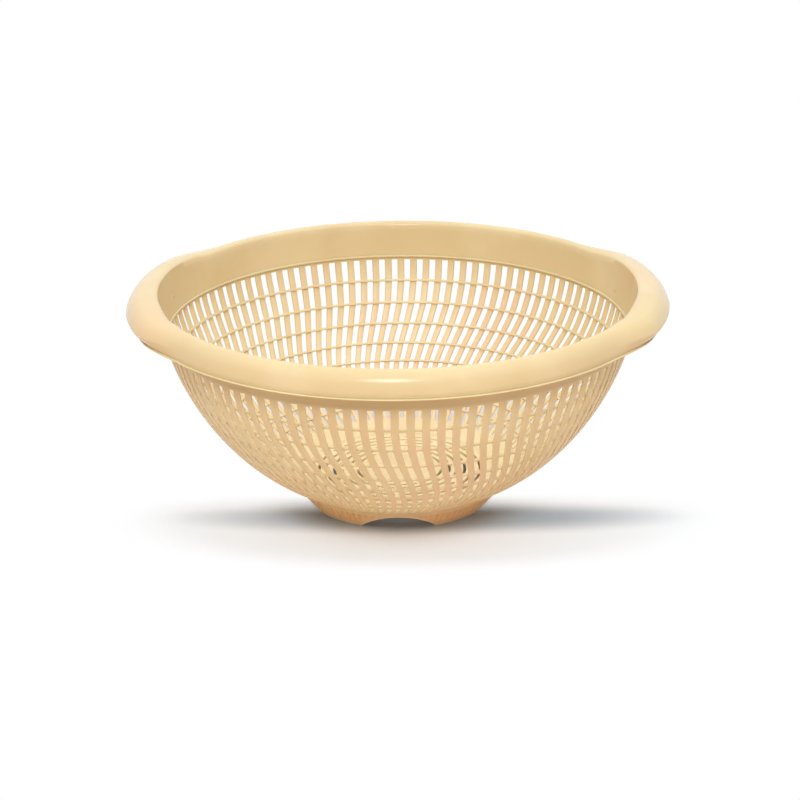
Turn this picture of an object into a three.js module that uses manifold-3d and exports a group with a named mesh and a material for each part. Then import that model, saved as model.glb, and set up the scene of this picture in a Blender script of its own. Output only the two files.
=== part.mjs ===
// A slotted plastic kitchen strainer. It is moulded in one piece, and is drawn here member by member:
// a rolled rim that widens into two grips, a smooth band, a wall of swirling ribs with hoops on its
// inner side, a slotted floor, and a foot ring with five arches.
// Millimetres, +Z up. It stands on z = 0, centred on the Z axis, with its grips along X.
import * as THREE from "three";
import { mergeVertices } from "three/addons/utils/BufferGeometryUtils.js";
import Module from "manifold-3d";

const wasm = await Module();
wasm.setup();

const { degToRad, lerp, smoothstep } = THREE.MathUtils;

// The moulding
const plasticColour = 0xe9cd9d;
const plasticRoughness = 0.36;
const seam = 0.3; // left between members that bend round each other

// Slotted wall: the outer face is a rounded curve that would close on the axis just above the table
const wallTopRadius = 122.5;
const stepHeight = 94.8; // where the wall hangs from the smooth band
const nadirHeight = 0.8;
const wallFullness = 2.6; // higher is squarer in the belly
const wallDrop = 1.36; // lower leans in sooner below the band
const seatHeight = 11.7; // where the wall ends on the foot ring

// Ribs and hoops
const ribCount = 102;
const panelCount = 6; // panels that the ribs are drawn in
const slotWidthShare = 0.43; // of the pitch from rib to rib
const ribDepth = 1.2;
const ribTaperShare = 0.8; // width of a rib's inner face, of its outer face
const collarHeight = 1.5; // solid strip above the top row of slots
const ribSegments = 6; // straight stretches along a rib
const rowCount = 9; // rows of slots
const topRowShare = 0.133; // of the wall's length
const rowShrinkShare = 0.0031; // lost by each row to the one above it
const hoopDepth = 1;
const hoopHeight = 1.5;

// Swirl: the ribs drop straight, swing sideways by this angle and start back near the foot
const swirlAngle = 6.1;
const swirlStartShare = 0.15;
const swirlTurnShare = 0.745;

// Smooth band and its bead
const bandThickness = 1.9;
const bandFlare = 2.4; // the opening is wider than the foot of the band
const beadReach = 0.6;
const beadHeight = 1.6;
const bandHeight = 19; // from the slotted wall up to the edge of the opening
const rimSeatDrop = 3.8; // from that edge down to where the band hands over to the rim

// Rim, whose roll climbs from the opening to a crest and comes down to the lip
const crestRise = 1.9; // from the edge of the opening
const rollDepth = 11.8; // from the crest down to the lip
const rimReach = 10; // from the opening to the outermost line
const rimWall = 1.9;
const lipFlare = 1; // the lip stands this much further out than the roll
// Shares of the width from the opening outwards, and of the height above the lip
const rollShares = [
  [0.07, 0.93],
  [0.25, 1],
  [0.6, 0.99],
  [0.84, 0.86],
  [0.97, 0.66],
  [1, 0.45],
];

// Grips: the rim reaches further out over the first angle each side of the X axis, and fades back
// over the second. The inner edge rises and the opening steps outwards over angles of their own.
const gripReach = 8.6;
const gripLipReach = 3.6;
const gripAngles = [22, 16];
const gripRise = 3.6;
const gripRiseAngles = [12, 24];
const openingStep = 2;
const openingStepAngles = [25, 6];

// Floor
const baseRimWidth = 9.8; // solid ring between the floor and the outside of the foot ring
const floorHeight = 9.4; // underside
const floorThickness = 2.5;
const floorRingCount = 6; // rings of arched slots, one inside the other
const floorSlotsPerRing = 6;
const floorEdgeWidth = 5.2; // solid edge outside the outermost ring
const floorSlotWidth = 1.6;
const floorStripWidth = 2.6; // solid strip between two rings
const floorBridgeWidth = 4; // between the ends of two slots
const baseRimThickness = 2.8;
const baseRimFillet = 5; // width of the slope from the floor up to the wall

// Foot ring
const footTaper = 7.3; // from the seat in to the feet
const footThickness = 2.2;
const archCount = 5;
const archHalfAngle = 21.85;
const archHeight = 8.4;

// Facets
const rimSteps = 18; // in a grip, and in the rim between two grips
const bandSteps = 64;
const hoopSteps = 36;
const slotSteps = 3;
const archSteps = 10;
const footSteps = 3;
const curveSamples = 60;

const fullTurn = 2 * Math.PI;
const gripCount = 2;
const gripSpan = degToRad(gripAngles[0] + gripAngles[1]);
const bandBottomRadius = wallTopRadius - bandThickness;
const openingRadius = bandBottomRadius + bandFlare;
const openingHeight = stepHeight + bandHeight;
const rimSeatHeight = openingHeight - rimSeatDrop;
const rimHeight = openingHeight + crestRise;
const lipHeight = rimHeight - rollDepth;
const wallDepth = stepHeight - nadirHeight;

// Radius of the wall's outer face at a height.
function wallRadius(z) {
  const drop = Math.max(stepHeight - z, 0) / wallDepth;
  return wallTopRadius * (1 - drop ** wallDrop) ** (1 / wallFullness);
}

// The wall's outer face as a curve of (radius, height) from the step down to the foot ring.
const wallCurve = new THREE.SplineCurve(
  Array.from({ length: curveSamples + 1 }, (_, i) => {
    const z = lerp(stepHeight, seatHeight, i / curveSamples);
    return new THREE.Vector2(wallRadius(z), z);
  }),
);
const wallLength = wallCurve.getLength();
const footTopRadius = wallRadius(seatHeight);
const footBaseRadius = footTopRadius - footTaper;
const floorRadius = footTopRadius - baseRimWidth;

// Share of the wall's length at which a row of slots ends.
const rowEndShare = (row) => row * (topRowShare - rowShrinkShare * row);

// Direction into the bowl, square to a curve that runs down the wall.
const inward = (tangent) => new THREE.Vector2(tangent.y, -tangent.x);

// A point of the wall at a share of its length, sunk by a depth below the outer face.
function wallPoint(share, depth) {
  const normal = inward(wallCurve.getTangentAt(share));
  return wallCurve.getPointAt(share).addScaledVector(normal, depth);
}

// Turns a (radius, height) point to an azimuth in radians.
function turned(point, azimuth) {
  return new THREE.Vector3(point.x * Math.cos(azimuth), point.x * Math.sin(azimuth), point.y);
}

// Sideways swing of the ribs at a share of the wall's length, in radians.
function swirl(share) {
  const phase = (share - swirlStartShare) / (swirlTurnShare - swirlStartShare);
  return (degToRad(swirlAngle) * (1 - Math.cos(Math.PI * Math.max(phase, 0)))) / 2;
}

// A closed surface gathered quad by quad, each given anticlockwise as seen from outside.
class Surface {
  positions = [];

  triangle(...corners) {
    corners.forEach((corner) => this.positions.push(corner.x, corner.y, corner.z));
  }

  quad(a, b, c, d) {
    this.triangle(a, b, c);
    this.triangle(a, c, d);
  }

  geometry() {
    const geometry = new THREE.BufferGeometry();
    geometry.setAttribute("position", new THREE.Float32BufferAttribute(this.positions, 3));
    geometry.computeVertexNormals();
    return geometry;
  }
}

// Carries an anticlockwise (radius, height) outline round the axis. The outline may change with the
// azimuth. A sweep that isn't a whole ring gets a flat cap at each end.
function sweep(outlineAt, azimuths, wholeRing) {
  const outlines = azimuths.map(outlineAt);
  const rings = outlines.map((outline, i) => outline.map((point) => turned(point, azimuths[i])));
  const surface = new Surface();
  const last = rings.length - 1;
  for (let i = 0; i < (wholeRing ? rings.length : last); i++) {
    const ring = rings[i];
    const next = rings[(i + 1) % rings.length];
    ring.forEach((point, j) => {
      const k = (j + 1) % ring.length;
      surface.quad(point, next[j], next[k], ring[k]);
    });
  }
  if (!wholeRing) {
    for (const [a, b, c] of THREE.ShapeUtils.triangulateShape(outlines[0], [])) {
      surface.triangle(rings[0][a], rings[0][b], rings[0][c]);
    }
    for (const [a, b, c] of THREE.ShapeUtils.triangulateShape(outlines[last], [])) {
      surface.triangle(rings[last][c], rings[last][b], rings[last][a]);
    }
  }
  return surface.geometry();
}

// Azimuths of a whole ring, or of an arc with both its ends.
const ringAzimuths = (steps) => Array.from({ length: steps }, (_, i) => (i / steps) * fullTurn);
const arcAzimuths = (from, to, steps) =>
  Array.from({ length: steps + 1 }, (_, i) => lerp(from, to, i / steps));

// The path drawn again at a distance on its right-hand side, as thick at the corners as between.
function offsetPath(path, distance) {
  return path.map((point, i) => {
    const before = path[Math.max(i - 1, 0)];
    const after = path[Math.min(i + 1, path.length - 1)];
    const into = point.clone().sub(i ? before : point).normalize();
    const out = after.clone().sub(i < path.length - 1 ? point : before).normalize();
    const along = (i ? into : out).clone().add(out).normalize();
    const mitre = distance / along.dot(out);
    return inward(along).multiplyScalar(mitre).add(point);
  });
}

// How much of a grip's feature there is at an azimuth: 1 about the grip's middle, 0 on the plain rim.
function gripAmount(azimuth, [fullAngle, fadeAngle]) {
  const fromMiddle = Math.abs(((azimuth + Math.PI / 2 + fullTurn) % Math.PI) - Math.PI / 2);
  return 1 - smoothstep(fromMiddle, degToRad(fullAngle), degToRad(fullAngle + fadeAngle));
}

// Edge of the bowl's opening.
function openingAt(azimuth) {
  return new THREE.Vector2(
    openingRadius + openingStep * gripAmount(azimuth, openingStepAngles),
    openingHeight + gripRise * gripAmount(azimuth, gripRiseAngles),
  );
}

// Radius of the smooth band's inner face.
function bandInner(azimuth, z) {
  const edge = openingAt(azimuth);
  return lerp(bandBottomRadius, edge.x, (z - stepHeight) / (edge.y - stepHeight));
}

// Smooth band above the slots, with a small bead along its lower inner edge.
function upperBandOutline(azimuth) {
  const beadRadius = bandBottomRadius - beadReach;
  const topRadius = bandInner(azimuth, rimSeatHeight);
  return [
    new THREE.Vector2(wallTopRadius, stepHeight),
    new THREE.Vector2(topRadius + bandThickness, rimSeatHeight),
    new THREE.Vector2(topRadius, rimSeatHeight),
    new THREE.Vector2(bandInner(azimuth, stepHeight + beadHeight), stepHeight + beadHeight),
    new THREE.Vector2(beadRadius, stepHeight + beadHeight / 2),
    new THREE.Vector2(bandBottomRadius, stepHeight),
  ];
}

// Rolled rim: a channel open below, whose skin climbs from the band, rolls over and ends in the lip.
function rimOutline(azimuth) {
  const edge = openingAt(azimuth);
  const amount = gripAmount(azimuth, gripAngles);
  const rimRadius = openingRadius + rimReach;
  const outermost = rimRadius + gripReach * amount;
  const skin = [
    new THREE.Vector2(bandInner(azimuth, rimSeatHeight), rimSeatHeight),
    edge,
    ...rollShares.map(([across, up]) => {
      const rise = (1 - across) * (edge.y - openingHeight);
      return new THREE.Vector2(lerp(edge.x, outermost, across), lerp(lipHeight, rimHeight, up) + rise);
    }),
    new THREE.Vector2(rimRadius + lipFlare + gripLipReach * amount, lipHeight),
  ];
  const last = skin.length - 1;
  const lining = offsetPath(skin, rimWall).filter((_, i) => i === 0 || i % 2 === 1 || i === last);
  lining[0].set(skin[0].x + bandThickness, rimSeatHeight);
  return [...lining, ...skin.reverse()];
}

// A stretch of the rim between two azimuths, short of its neighbours by half a seam at each end.
function rimStretch(from, to) {
  const trim = seam / 2 / (openingRadius + rimReach);
  return sweep(rimOutline, arcAzimuths(from + trim, to - trim, rimSteps), false);
}

// Shares of the wall's length at the ends of a rib's straight stretches, below the collar.
const ribEndShare = rowEndShare(rowCount) - seam / wallLength;
const ribShares = [0, ...arcAzimuths(collarHeight / wallLength, ribEndShare, ribSegments)];
const ribOuter = ribShares.map((share) => wallPoint(share, 0));
const ribInner = ribShares.map((share) => wallPoint(share, ribDepth));
ribInner[0].set(ribOuter[0].x - ribDepth, stepHeight); // the collar's top is flat under the band

// A panel of ribs that hang from their strip of the collar like the teeth of a comb.
function ribPanel(index) {
  const pitch = fullTurn / ribCount;
  const ribsHere = ribCount / panelCount;
  const halfRib = (pitch * (1 - slotWidthShare)) / 2;
  const taper = halfRib * (1 - ribTaperShare);
  const start = index * ribsHere * pitch;
  const trim = seam / 2 / wallTopRadius;
  const edges = Array.from({ length: ribsHere }, (_, i) => start + (i + 0.5) * pitch).flatMap(
    (middle) => [middle - halfRib, middle + halfRib],
  );
  const columns = [start + trim, ...edges, start + ribsHere * pitch - trim];
  const lastColumn = columns.length - 1;
  const outer = (c, j) => turned(ribOuter[j], columns[c] + swirl(ribShares[j]));
  // The inner faces of the ribs are narrower, so that the slots widen inwards.
  const inner = (c, j) => {
    const isEnd = c === 0 || c === lastColumn;
    const shift = isEnd ? 0 : c % 2 === 1 ? taper : -taper;
    return turned(ribInner[j], columns[c] + shift + swirl(ribShares[j]));
  };
  const surface = new Surface();
  // Outer and inner faces of one cell of the panel.
  const faces = (c, j) => {
    surface.quad(outer(c, j + 1), outer(c + 1, j + 1), outer(c + 1, j), outer(c, j));
    surface.quad(inner(c, j), inner(c + 1, j), inner(c + 1, j + 1), inner(c, j + 1));
  };
  const lowerSide = (c, j) => surface.quad(outer(c, j), inner(c, j), inner(c, j + 1), outer(c, j + 1));
  const upperSide = (c, j) => surface.quad(outer(c, j + 1), inner(c, j + 1), inner(c, j), outer(c, j));
  const underside = (c, j) => surface.quad(inner(c, j), inner(c + 1, j), outer(c + 1, j), outer(c, j));
  for (let c = 0; c < lastColumn; c++) {
    faces(c, 0);
    surface.quad(outer(c, 0), outer(c + 1, 0), inner(c + 1, 0), inner(c, 0));
    const isRib = c % 2 === 1;
    if (!isRib) {
      underside(c, 1);
      continue;
    }
    for (let j = 1; j <= ribSegments; j++) {
      faces(c, j);
      lowerSide(c, j);
      upperSide(c + 1, j);
    }
    underside(c, ribSegments + 1);
  }
  lowerSide(0, 0);
  upperSide(lastColumn, 0);
  return surface.geometry();
}

// The ribs' inner faces as one path down the wall, which the hoops lie along.
const hoopPath = new THREE.CurvePath();
ribInner.slice(1).forEach((point, i) => hoopPath.add(new THREE.LineCurve(ribInner[i], point)));

// A thin hoop inside the ribs, at the foot of a row of slots.
function hoop(row) {
  const share = rowEndShare(row);
  const along = hoopPath.getTangent(share);
  const normal = inward(along);
  const corner = (depth, side) =>
    hoopPath
      .getPoint(share)
      .addScaledVector(normal, seam + depth)
      .addScaledVector(along, (side * hoopHeight) / 2);
  const outline = [corner(0, 1), corner(0, -1), corner(hoopDepth, -1), corner(hoopDepth, 1)];
  return sweep(() => outline, ringAzimuths(hoopSteps), true);
}

// Radius of the foot ring's outer face, which tapers in towards the table.
const footRadius = (z) => lerp(footBaseRadius, footTopRadius, z / seatHeight);

// Solid ring between the slots, the floor and the foot ring, with a flat seat for the foot ring.
function baseRimOutline() {
  const top = rowEndShare(rowCount);
  const middle = (top + 1) / 2;
  const seatInner = footTopRadius - footThickness - seam;
  const bore = floorRadius + seam;
  const floorTop = floorHeight + floorThickness;
  const wallFoot = wallPoint(1, baseRimThickness);
  return [
    new THREE.Vector2(footTopRadius, seatHeight),
    wallPoint(middle, 0),
    wallPoint(top, 0),
    wallPoint(top, baseRimThickness),
    wallFoot,
    new THREE.Vector2(wallFoot.x - baseRimFillet, floorTop),
    new THREE.Vector2(bore, floorTop),
    new THREE.Vector2(bore, floorHeight),
    new THREE.Vector2(footRadius(floorHeight) - footThickness - seam, floorHeight),
    new THREE.Vector2(seatInner, seatHeight),
  ];
}

// A closed geometry as a solid that can be cut, and a cut solid as a geometry again.
function toSolid(geometry) {
  const bare = geometry.clone();
  bare.deleteAttribute("normal");
  bare.deleteAttribute("uv");
  const merged = mergeVertices(bare);
  return new wasm.Manifold(
    new wasm.Mesh({
      numProp: 3,
      vertProperties: merged.attributes.position.array,
      triVerts: new Uint32Array(merged.index.array),
    }),
  );
}

function toGeometry(solid) {
  const { vertProperties, triVerts } = solid.getMesh();
  const geometry = new THREE.BufferGeometry();
  geometry.setAttribute("position", new THREE.BufferAttribute(vertProperties, 3));
  geometry.setIndex(new THREE.BufferAttribute(triVerts, 1));
  geometry.computeVertexNormals();
  return geometry;
}

// Cutter for an arched slot of a ring of the floor, about the X axis.
function floorSlot(ring) {
  const outer = floorRadius - floorEdgeWidth - ring * (floorSlotWidth + floorStripWidth);
  const inner = outer - floorSlotWidth;
  const half = Math.PI / floorSlotsPerRing - floorBridgeWidth / (outer + inner);
  const outline = new THREE.Shape();
  outline.absarc(0, 0, outer, -half, half, false);
  outline.absarc(0, 0, inner, half, -half, true);
  const slot = new THREE.ExtrudeGeometry(outline, {
    depth: 2 * floorThickness,
    bevelEnabled: false,
    curveSegments: slotSteps,
  });
  return slot.translate(0, 0, -floorThickness);
}

// Round floor with rings of arched slots. The bridges of every other ring are set half a slot round.
function floorGrille() {
  const disc = new THREE.CylinderGeometry(floorRadius, floorRadius, floorThickness, hoopSteps);
  disc.rotateX(Math.PI / 2);
  let grille = toSolid(disc);
  for (let ring = 0; ring < floorRingCount; ring++) {
    const stagger = ((ring % 2) * Math.PI) / floorSlotsPerRing;
    for (const azimuth of ringAzimuths(floorSlotsPerRing)) {
      grille = grille.subtract(toSolid(floorSlot(ring).rotateZ(azimuth + stagger)));
    }
  }
  return toGeometry(grille);
}

// Foot ring: stands on five feet, with a shallow arch between each two of them.
function footRing() {
  const archPitch = fullTurn / archCount;
  const half = degToRad(archHalfAngle);
  const firstArch = -Math.PI / 2;
  const azimuths = [];
  for (let i = 0; i < archCount; i++) {
    const middle = firstArch + i * archPitch;
    azimuths.push(...arcAzimuths(middle - half, middle + half, archSteps));
    azimuths.push(...arcAzimuths(middle + half, middle + archPitch - half, footSteps).slice(1, -1));
  }
  const outlineAt = (azimuth) => {
    const fromArch = Math.abs(((azimuth - firstArch + archPitch / 2 + fullTurn) % archPitch) - archPitch / 2);
    const bottom = archHeight * Math.max(1 - (fromArch / half) ** 2, 0);
    return [
      new THREE.Vector2(footRadius(bottom), bottom),
      new THREE.Vector2(footTopRadius, seatHeight),
      new THREE.Vector2(footTopRadius - footThickness, seatHeight),
      new THREE.Vector2(footRadius(bottom) - footThickness, bottom),
    ];
  };
  return sweep(outlineAt, azimuths, true);
}

const strainer = new THREE.Group();

// Adds a named member with its own material.
function addMember(name, geometry) {
  const material = new THREE.MeshStandardMaterial({
    color: plasticColour,
    roughness: plasticRoughness,
    metalness: 0,
  });
  const mesh = new THREE.Mesh(geometry, material);
  mesh.name = name;
  strainer.add(mesh);
  return mesh;
}

["grip_right", "grip_left"].forEach((name, i) => {
  const middle = (i * fullTurn) / gripCount;
  addMember(name, rimStretch(middle - gripSpan, middle + gripSpan));
});
["rim_back", "rim_front"].forEach((name, i) => {
  const start = (i * fullTurn) / gripCount + gripSpan;
  addMember(name, rimStretch(start, start + fullTurn / gripCount - 2 * gripSpan));
});
addMember("upper_band", sweep(upperBandOutline, ringAzimuths(bandSteps), true));
for (let i = 0; i < panelCount; i++) {
  addMember(`rib_panel_${i + 1}`, ribPanel(i));
}
for (let row = 1; row < rowCount; row++) {
  addMember(`hoop_${row}`, hoop(row));
}
addMember("base_rim", sweep(baseRimOutline, ringAzimuths(hoopSteps), true));
addMember("floor_grille", floorGrille()).position.z = floorHeight + floorThickness / 2;
addMember("foot_ring", footRing());

export default strainer;
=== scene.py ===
"""Looks of a slotted plastic kitchen strainer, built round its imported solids.

The strainer is one moulding in cream polypropylene. Dressed pieces stand for its solids: the rolled
rim with its grips and smooth band, the slotted wall, the hoops inside it, the slotted floor and the
foot ring. Lengths are metres, +Z is up, the strainer stands on z = 0 and its grips lie along X.
"""

import contextlib
import logging
import math
from collections.abc import Callable, Iterator, Mapping, Sequence
from dataclasses import dataclass
from enum import Enum
from itertools import pairwise
from typing import Any

import bpy
import numpy as np
from mathutils import Matrix, Vector


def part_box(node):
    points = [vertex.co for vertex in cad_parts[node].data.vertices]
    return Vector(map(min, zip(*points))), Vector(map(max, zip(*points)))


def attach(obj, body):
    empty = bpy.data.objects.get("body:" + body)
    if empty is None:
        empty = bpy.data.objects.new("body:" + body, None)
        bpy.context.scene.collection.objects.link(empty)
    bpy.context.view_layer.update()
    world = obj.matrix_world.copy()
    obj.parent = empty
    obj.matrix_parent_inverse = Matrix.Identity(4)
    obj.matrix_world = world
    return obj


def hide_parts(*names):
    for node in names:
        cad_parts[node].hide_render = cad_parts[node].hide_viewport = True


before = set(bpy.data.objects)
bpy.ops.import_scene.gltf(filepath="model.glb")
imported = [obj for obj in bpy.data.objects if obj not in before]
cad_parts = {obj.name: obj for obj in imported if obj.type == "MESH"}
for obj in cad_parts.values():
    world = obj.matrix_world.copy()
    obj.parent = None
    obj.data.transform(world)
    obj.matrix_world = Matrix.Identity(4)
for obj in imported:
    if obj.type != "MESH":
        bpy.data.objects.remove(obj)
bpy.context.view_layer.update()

LOG = logging.getLogger("strainer")
MM = 0.001
FULL_TURN = 2 * math.pi
# Name of the mark on the foot's lower edge that carries a painted highlight: a paler colour
# standing for light caught on the rounded edge.
EDGE_HIGHLIGHT_MARK = "painted_edge_highlight"
WELD_DISTANCE = 0.002 * MM
SMOOTH_ANGLE = math.radians(35)
WHITE = (1, 1, 1, 1)
Outline = list[tuple[float, float]]
Span = tuple[float, float]
Tone = tuple[float, float, float]


# Work at the bench: operators on one piece at a time.


def pick(*pieces: bpy.types.Object) -> None:
    """Selects these pieces alone and makes the first one active.

    Args:
        *pieces: The pieces, the one to make active first.
    """
    bpy.ops.object.select_all(action="DESELECT")
    for piece in pieces:
        piece.select_set(True)
    bpy.context.view_layer.objects.active = pieces[0]


@contextlib.contextmanager
def editing(piece: bpy.types.Object, select: str = "DESELECT") -> Iterator[None]:
    """Opens a piece in edit mode, with all of its mesh selected or none of it.

    Args:
        piece: The piece to edit.
        select: SELECT or DESELECT.

    Yields:
        Nothing; the piece is in edit mode until the block ends.
    """
    pick(piece)
    bpy.ops.object.mode_set(mode="EDIT")
    bpy.ops.mesh.select_mode(type="VERT")
    bpy.ops.mesh.select_all(action=select)
    yield
    bpy.ops.object.mode_set(mode="OBJECT")


def named(name: str) -> bpy.types.Object:
    """Names the primitive just added, and moves its place into its mesh.

    Args:
        name: Name of the piece.

    Returns:
        The piece.
    """
    piece = bpy.context.object
    piece.name = name
    piece.data.name = name
    pick(piece)
    bpy.ops.object.transform_apply(location=True, rotation=True, scale=True)
    return piece


def finish_with(piece: bpy.types.Object, kind: str, **settings: Any) -> None:
    """Adds a modifier to a piece and applies it.

    Args:
        piece: The piece to finish.
        kind: The modifier's type, such as SOLIDIFY.
        **settings: The modifier's values.
    """
    pick(piece)
    modifier = piece.modifiers.new(kind.title(), kind)
    for name, value in settings.items():
        setattr(modifier, name, value)
    bpy.ops.object.modifier_apply(modifier=modifier.name)


def round_edges(
    piece: bpy.types.Object, width: float, angle: float = 60, segments: int = 2, clamp: bool = True
) -> None:
    """Rounds the edges of a piece that turn by more than an angle.

    Args:
        piece: The piece to round.
        width: Width of the rounding.
        angle: The angle in degrees.
        segments: Steps across the rounding.
        clamp: Whether the rounding narrows where it would run into itself.
    """
    finish_with(
        piece, "BEVEL", width=width, segments=segments, limit_method="ANGLE",
        angle_limit=math.radians(angle), use_clamp_overlap=clamp,
    )


def points_of(piece: bpy.types.Object) -> np.ndarray:
    """Reads the places of a piece's vertices.

    Args:
        piece: The piece to read.

    Returns:
        The places, one row each.
    """
    places = np.empty(len(piece.data.vertices) * 3)
    piece.data.vertices.foreach_get("co", places)
    return places.reshape(-1, 3)


def azimuth_of(points: np.ndarray) -> np.ndarray:
    """Returns the angle of each place round the Z axis, in radians."""
    return np.arctan2(points[:, 1], points[:, 0])


def polar(radius: np.ndarray, azimuth: np.ndarray, height: np.ndarray) -> np.ndarray:
    """Returns the places at these radii, angles round the Z axis and heights, one row each."""
    return np.column_stack((radius * np.cos(azimuth), radius * np.sin(azimuth), height))


def reshape(piece: bpy.types.Object, move: Callable[[np.ndarray], np.ndarray]) -> None:
    """Moves every vertex of a piece by a rule, where its form is a formula and not a single push.

    Args:
        piece: The piece to shape.
        move: Takes the places of the vertices, one row each, and returns the new ones.
    """
    piece.data.vertices.foreach_set("co", move(points_of(piece)).ravel())
    piece.data.update()


def weld(piece: bpy.types.Object) -> None:
    """Merges the doubles of a piece and turns its faces one way.

    Args:
        piece: The piece to weld.
    """
    with editing(piece, "SELECT"):
        bpy.ops.mesh.remove_doubles(threshold=WELD_DISTANCE)
        bpy.ops.mesh.normals_make_consistent(inside=False)


def flip_if(piece: bpy.types.Object, wrong: bool) -> None:
    """Turns all faces of an open shell round where they point the wrong way.

    Args:
        piece: The shell.
        wrong: Whether its faces point the wrong way.
    """
    if wrong:
        with editing(piece, "SELECT"):
            bpy.ops.mesh.flip_normals()


def select_edges(piece: bpy.types.Object, test: Callable[[Vector, Vector], bool]) -> None:
    """Selects the edges whose two ends pass a test, from within edit mode.

    Args:
        piece: The piece that is being edited.
        test: Takes the places of an edge's ends.
    """
    bpy.ops.mesh.select_mode(type="EDGE")
    bpy.ops.object.mode_set(mode="OBJECT")
    points = piece.data.vertices
    for edge in piece.data.edges:
        first, second = edge.vertices
        edge.select = test(points[first].co, points[second].co)
    bpy.ops.object.mode_set(mode="EDIT")


def smooth(piece: bpy.types.Object) -> None:
    """Shades a piece smooth, and sharp over the edges that turn by more than the smooth angle."""
    pick(piece)
    bpy.ops.object.shade_smooth_by_angle(angle=SMOOTH_ANGLE)


def joined(name: str, *pieces: bpy.types.Object) -> bpy.types.Object:
    """Joins pieces into the first one and names it.

    Args:
        name: Name of the joined piece.
        *pieces: The pieces to join.

    Returns:
        The joined piece.
    """
    pick(*pieces)
    bpy.ops.object.join()
    pieces[0].name = name
    pieces[0].data.name = name
    return pieces[0]


def ring_of(source: bpy.types.Object, count: int) -> bpy.types.Object:
    """Copies a piece round the Z axis and joins the copies, each with its own mesh.

    Args:
        source: The piece to repeat, at the first place.
        count: How many there are in the whole ring.

    Returns:
        The joined ring.
    """
    copies = [source]
    for index in range(1, count):
        copy = source.copy()
        copy.data = source.data.copy()
        bpy.context.scene.collection.objects.link(copy)
        copy.data.transform(Matrix.Rotation(index * FULL_TURN / count, 4, "Z"))
        copies.append(copy)
    return joined(source.name, *copies)


def turned(name: str, outline: Outline, steps: int, closed: bool) -> bpy.types.Object:
    """Draws an outline by extruding one point along it, and spins it round the Z axis.

    Args:
        name: Name of the piece.
        outline: Radius and height of each point.
        steps: Steps of the spin.
        closed: Whether the outline's last point joins its first.

    Returns:
        The turned shell or solid, welded.
    """
    start = outline[0]
    bpy.ops.mesh.primitive_plane_add(size=MM, location=(start[0], 0, start[1]))
    piece = named(name)
    with editing(piece, "SELECT"):
        bpy.ops.mesh.merge(type="CENTER")
        for before, after in pairwise(outline + outline[:1] if closed else outline):
            step = (after[0] - before[0], 0, after[1] - before[1])
            bpy.ops.mesh.extrude_vertices_move(TRANSFORM_OT_translate={"value": step})
        bpy.ops.mesh.select_all(action="SELECT")
        bpy.ops.mesh.spin(steps=steps, angle=FULL_TURN, center=(0, 0, 0), axis=(0, 0, 1))
    weld(piece)
    return piece


def through(points: Outline, parts: int) -> Outline:
    """Runs a smooth curve through a few points.

    Args:
        points: The points, two numbers each.
        parts: How many steps each stretch between two points takes.

    Returns:
        The points of the curve, the first and last of them those given.
    """
    knots = np.array([points[0], *points, points[-1]])
    curve = [tuple(points[0])]
    for a, b, c, d in zip(knots, knots[1:], knots[2:], knots[3:]):
        for t in np.arange(1, parts + 1) / parts:
            bend = (2 * a - 5 * b + 4 * c - d) * t**2 + (3 * b - a - 3 * c + d) * t**3
            curve.append(tuple((2 * b + (c - a) * t + bend) / 2))
    return curve


def smoothstep(value: np.ndarray, low: float, high: float) -> np.ndarray:
    """Eases a value from 0 at low to 1 at high."""
    share = np.clip((value - low) / (high - low), 0, 1)
    return share**2 * (3 - 2 * share)


# Finishes


class Signal:
    """A number that a node gives, with arithmetic that adds Math nodes."""

    def __init__(self, sheet: "ShaderSheet", socket: bpy.types.NodeSocket) -> None:
        """Keeps the sheet and the socket that gives the number."""
        self.sheet = sheet
        self.socket = socket

    def _with(self, operation: str, first: Any, second: Any) -> "Signal":
        """Adds the Math node of an operation on two values."""
        return self.sheet.node("ShaderNodeMath", {"operation": operation}, {0: first, 1: second})

    def __add__(self, other: Any) -> "Signal":
        """Adds a value."""
        return self._with("ADD", self, other)

    def __radd__(self, other: Any) -> "Signal":
        """Is added to a value."""
        return self._with("ADD", other, self)

    def __sub__(self, other: Any) -> "Signal":
        """Takes a value off."""
        return self._with("SUBTRACT", self, other)

    def __rsub__(self, other: Any) -> "Signal":
        """Is taken off a value."""
        return self._with("SUBTRACT", other, self)

    def __mul__(self, other: Any) -> "Signal":
        """Multiplies by a value."""
        return self._with("MULTIPLY", self, other)

    def __rmul__(self, other: Any) -> "Signal":
        """Multiplies a value."""
        return self._with("MULTIPLY", other, self)

    def ramp(self, low: float, high: float) -> "Signal":
        """Eases from 0 at low to 1 at high.

        Args:
            low: Value below which the result is 0.
            high: Value above which it is 1.

        Returns:
            The eased signal.
        """
        settings = {"interpolation_type": "SMOOTHSTEP"}
        inputs = {"Value": self, "From Min": low, "From Max": high}
        return self.sheet.node("ShaderNodeMapRange", settings, inputs)


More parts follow.
